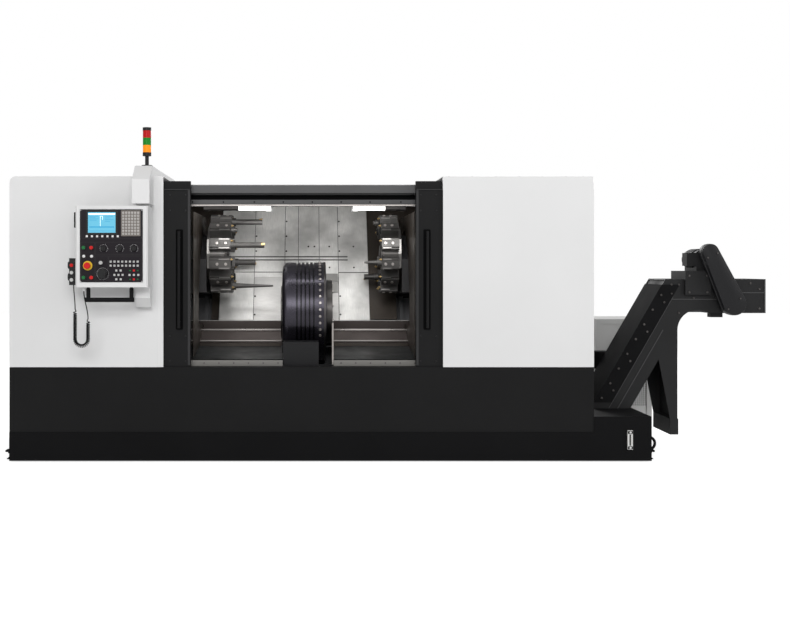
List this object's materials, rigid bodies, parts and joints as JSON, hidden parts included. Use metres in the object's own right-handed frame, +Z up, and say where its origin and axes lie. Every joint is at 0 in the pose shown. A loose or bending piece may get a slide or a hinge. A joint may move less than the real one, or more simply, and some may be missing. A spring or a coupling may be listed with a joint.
{
  "type": "enclosed centre-drive turning lathe",
  "caption": "Enclosed slant-bed turning lathe with a central drive drum, opposed tool turrets, sliding doors, a swivelling control pendant, a signal tower and an inclined chip conveyor.",
  "frame": {"origin": "on the floor under the middle of the machine with its conveyor", "axes": "+X along the bed towards the conveyor, +Y from the doors to the back, +Z up"},
  "size_m": [5.023, 1.894, 2.12],
  "materials": {
    "cast_iron": "painted casting",
    "black_sheet": "satin black powder coat",
    "white_sheet": "satin white powder coat",
    "door_black": "textured black powder coat",
    "beam_grey": "satin dark grey paint",
    "lining": "brushed stainless sheet",
    "lamp": "milky tube",
    "tower_black": "moulded",
    "red_lens": "clear red",
    "green_lens": "clear green",
    "amber_lens": "clear amber",
    "drum_steel": "dark blued steel",
    "spindle_steel": "ground steel",
    "cabinet_grey": "light grey paint",
    "pump_black": "black paint",
    "hose": "black hose",
    "gauge": "white moulding",
    "conveyor_black": "black paint",
    "belt_steel": "hinged steel plate",
    "turret_steel": "ground steel",
    "tool_steel": "blackened steel",
    "housing": "dark grey paint",
    "glass": "clear window",
    "handle_grey": "satin dark grey",
    "panel_dark": "dark membrane",
    "screen": "lit display",
    "black_plastic": "moulded",
    "unit_beige": "moulded",
    "cord": "black cord",
    "red_button": "moulded red",
    "green_button": "moulded green",
    "knob_grey": "moulded"
  },
  "bodies": {
    "machine": {"bed": "cast_iron", "base_cover": "black_sheet", "coolant_tank": "black_sheet", "levelling_feet": "pump_black", "left_cover": "white_sheet", "right_cover": "white_sheet", "rear_cover": "white_sheet", "top_beam": "beam_grey", "chamber_liner": "lining", "work_lamps": "lamp", "signal_arm": "white_sheet", "tower_stand": "tower_black", "lens_red": "red_lens", "lens_green": "green_lens", "lens_amber": "amber_lens", "headstock": "drum_steel", "drum_guard": "black_sheet", "cooler_cabinet": "cabinet_grey", "coolant_pump": "pump_black", "coolant_pipes": "hose", "level_gauge": "gauge", "conveyor_trough": "conveyor_black", "conveyor_cover": "conveyor_black", "conveyor_belt": "belt_steel", "gearmotor": "conveyor_black", "chain_guard": "conveyor_black"},
    "spindle_body": {"spindle": "spindle_steel"},
    "left_carriage": {"left_saddle": "cast_iron", "left_shield": "lining"},
    "left_cross_slide": {"left_turret_head": "housing"},
    "left_turret_body": {"left_turret": "turret_steel", "left_tools": "tool_steel"},
    "right_carriage": {"right_saddle": "cast_iron", "right_shield": "lining"},
    "right_cross_slide": {"right_turret_head": "housing"},
    "right_turret_body": {"right_turret": "turret_steel", "right_tools": "tool_steel"},
    "left_door_leaf": {"left_door": "door_black", "left_window": "glass", "left_handle": "handle_grey"},
    "right_door_leaf": {"right_door": "door_black", "right_window": "glass", "right_handle": "handle_grey"},
    "pendant": {"pendant_case": "white_sheet", "pendant_panel": "panel_dark", "pendant_screen": "screen", "pendant_handle": "black_plastic", "hand_unit": "unit_beige", "cord_leads": "cord", "cord_curl": "cord"},
    "e_stop_body": {"e_stop": "red_button"},
    "upper_start_body": {"upper_start": "green_button"},
    "upper_stop_body": {"upper_stop": "red_button"},
    "lower_start_body": {"lower_start": "green_button"},
    "lower_stop_body": {"lower_stop": "red_button"},
    "left_knob_body": {"left_knob": "black_plastic"},
    "middle_knob_body": {"middle_knob": "black_plastic"},
    "right_knob_body": {"right_knob": "black_plastic"},
    "mode_knob_body": {"mode_knob": "knob_grey"},
    "handwheel_body": {"handwheel": "black_plastic"}
  },
  "joints": [
    {"name": "spindle_spin", "type": "hinge", "parent": "machine", "child": "spindle_body", "pos_m": [-0.5885, -0.053, 0.93], "axis": [1, 0, 0], "continuous": true},
    {"name": "left_carriage_slide", "type": "slide", "parent": "machine", "child": "left_carriage", "axis": [1, 0, 0], "range_m": [-0.3, 0.05]},
    {"name": "left_cross_slide", "type": "slide", "parent": "left_carriage", "child": "left_cross_slide", "axis": [0, 0.5, 0.866], "range_m": [-0.2, 0.03]},
    {"name": "left_turret_index", "type": "hinge", "parent": "left_cross_slide", "child": "left_turret_body", "pos_m": [-1.2035, 0.178, 1.3301], "axis": [1, 0, 0], "continuous": true},
    {"name": "right_carriage_slide", "type": "slide", "parent": "machine", "child": "right_carriage", "axis": [1, 0, 0], "range_m": [-0.2, 0.1]},
    {"name": "right_cross_slide", "type": "slide", "parent": "right_carriage", "child": "right_cross_slide", "axis": [0, 0.5, 0.866], "range_m": [-0.2, 0.03]},
    {"name": "right_turret_index", "type": "hinge", "parent": "right_cross_slide", "child": "right_turret_body", "pos_m": [0.0265, 0.178, 1.3301], "axis": [1, 0, 0], "continuous": true},
    {"name": "left_door_slide", "type": "slide", "parent": "machine", "child": "left_door_leaf", "axis": [1, 0, 0], "range_m": [0, 0.718]},
    {"name": "right_door_slide", "type": "slide", "parent": "machine", "child": "right_door_leaf", "axis": [-1, 0, 0], "range_m": [0, 0.718]},
    {"name": "pendant_swivel", "type": "hinge", "parent": "machine", "child": "pendant", "pos_m": [-1.5975, -0.728, 1.632], "axis": [0, 0, 1], "range_deg": [0, 85]},
    {"name": "e_stop_press", "type": "slide", "parent": "pendant", "child": "e_stop_body", "axis": [0, 1, 0], "range_m": [0, 0.006], "stiffness_N_per_m": 800},
    {"name": "upper_start_press", "type": "slide", "parent": "pendant", "child": "upper_start_body", "axis": [0, 1, 0], "range_m": [0, 0.004], "stiffness_N_per_m": 800},
    {"name": "upper_stop_press", "type": "slide", "parent": "pendant", "child": "upper_stop_body", "axis": [0, 1, 0], "range_m": [0, 0.004], "stiffness_N_per_m": 800},
    {"name": "lower_start_press", "type": "slide", "parent": "pendant", "child": "lower_start_body", "axis": [0, 1, 0], "range_m": [0, 0.004], "stiffness_N_per_m": 800},
    {"name": "lower_stop_press", "type": "slide", "parent": "pendant", "child": "lower_stop_body", "axis": [0, 1, 0], "range_m": [0, 0.004], "stiffness_N_per_m": 800},
    {"name": "left_knob_turn", "type": "hinge", "parent": "pendant", "child": "left_knob_body", "pos_m": [-1.81971, -0.887, 1.35362], "axis": [0, 1, 0], "range_deg": [-135, 135]},
    {"name": "middle_knob_turn", "type": "hinge", "parent": "pendant", "child": "middle_knob_body", "pos_m": [-1.72089, -0.887, 1.35362], "axis": [0, 1, 0], "range_deg": [-135, 135]},
    {"name": "right_knob_turn", "type": "hinge", "parent": "pendant", "child": "right_knob_body", "pos_m": [-1.63327, -0.887, 1.35362], "axis": [0, 1, 0], "range_deg": [-135, 135]},
    {"name": "mode_knob_turn", "type": "hinge", "parent": "pendant", "child": "mode_knob_body", "pos_m": [-1.83553, -0.887, 1.26537], "axis": [0, 1, 0], "range_deg": [-60, 60]},
    {"name": "handwheel_spin", "type": "hinge", "parent": "pendant", "child": "handwheel_body", "pos_m": [-1.82511, -0.887, 1.19817], "axis": [0, 1, 0], "continuous": true}
  ]
}
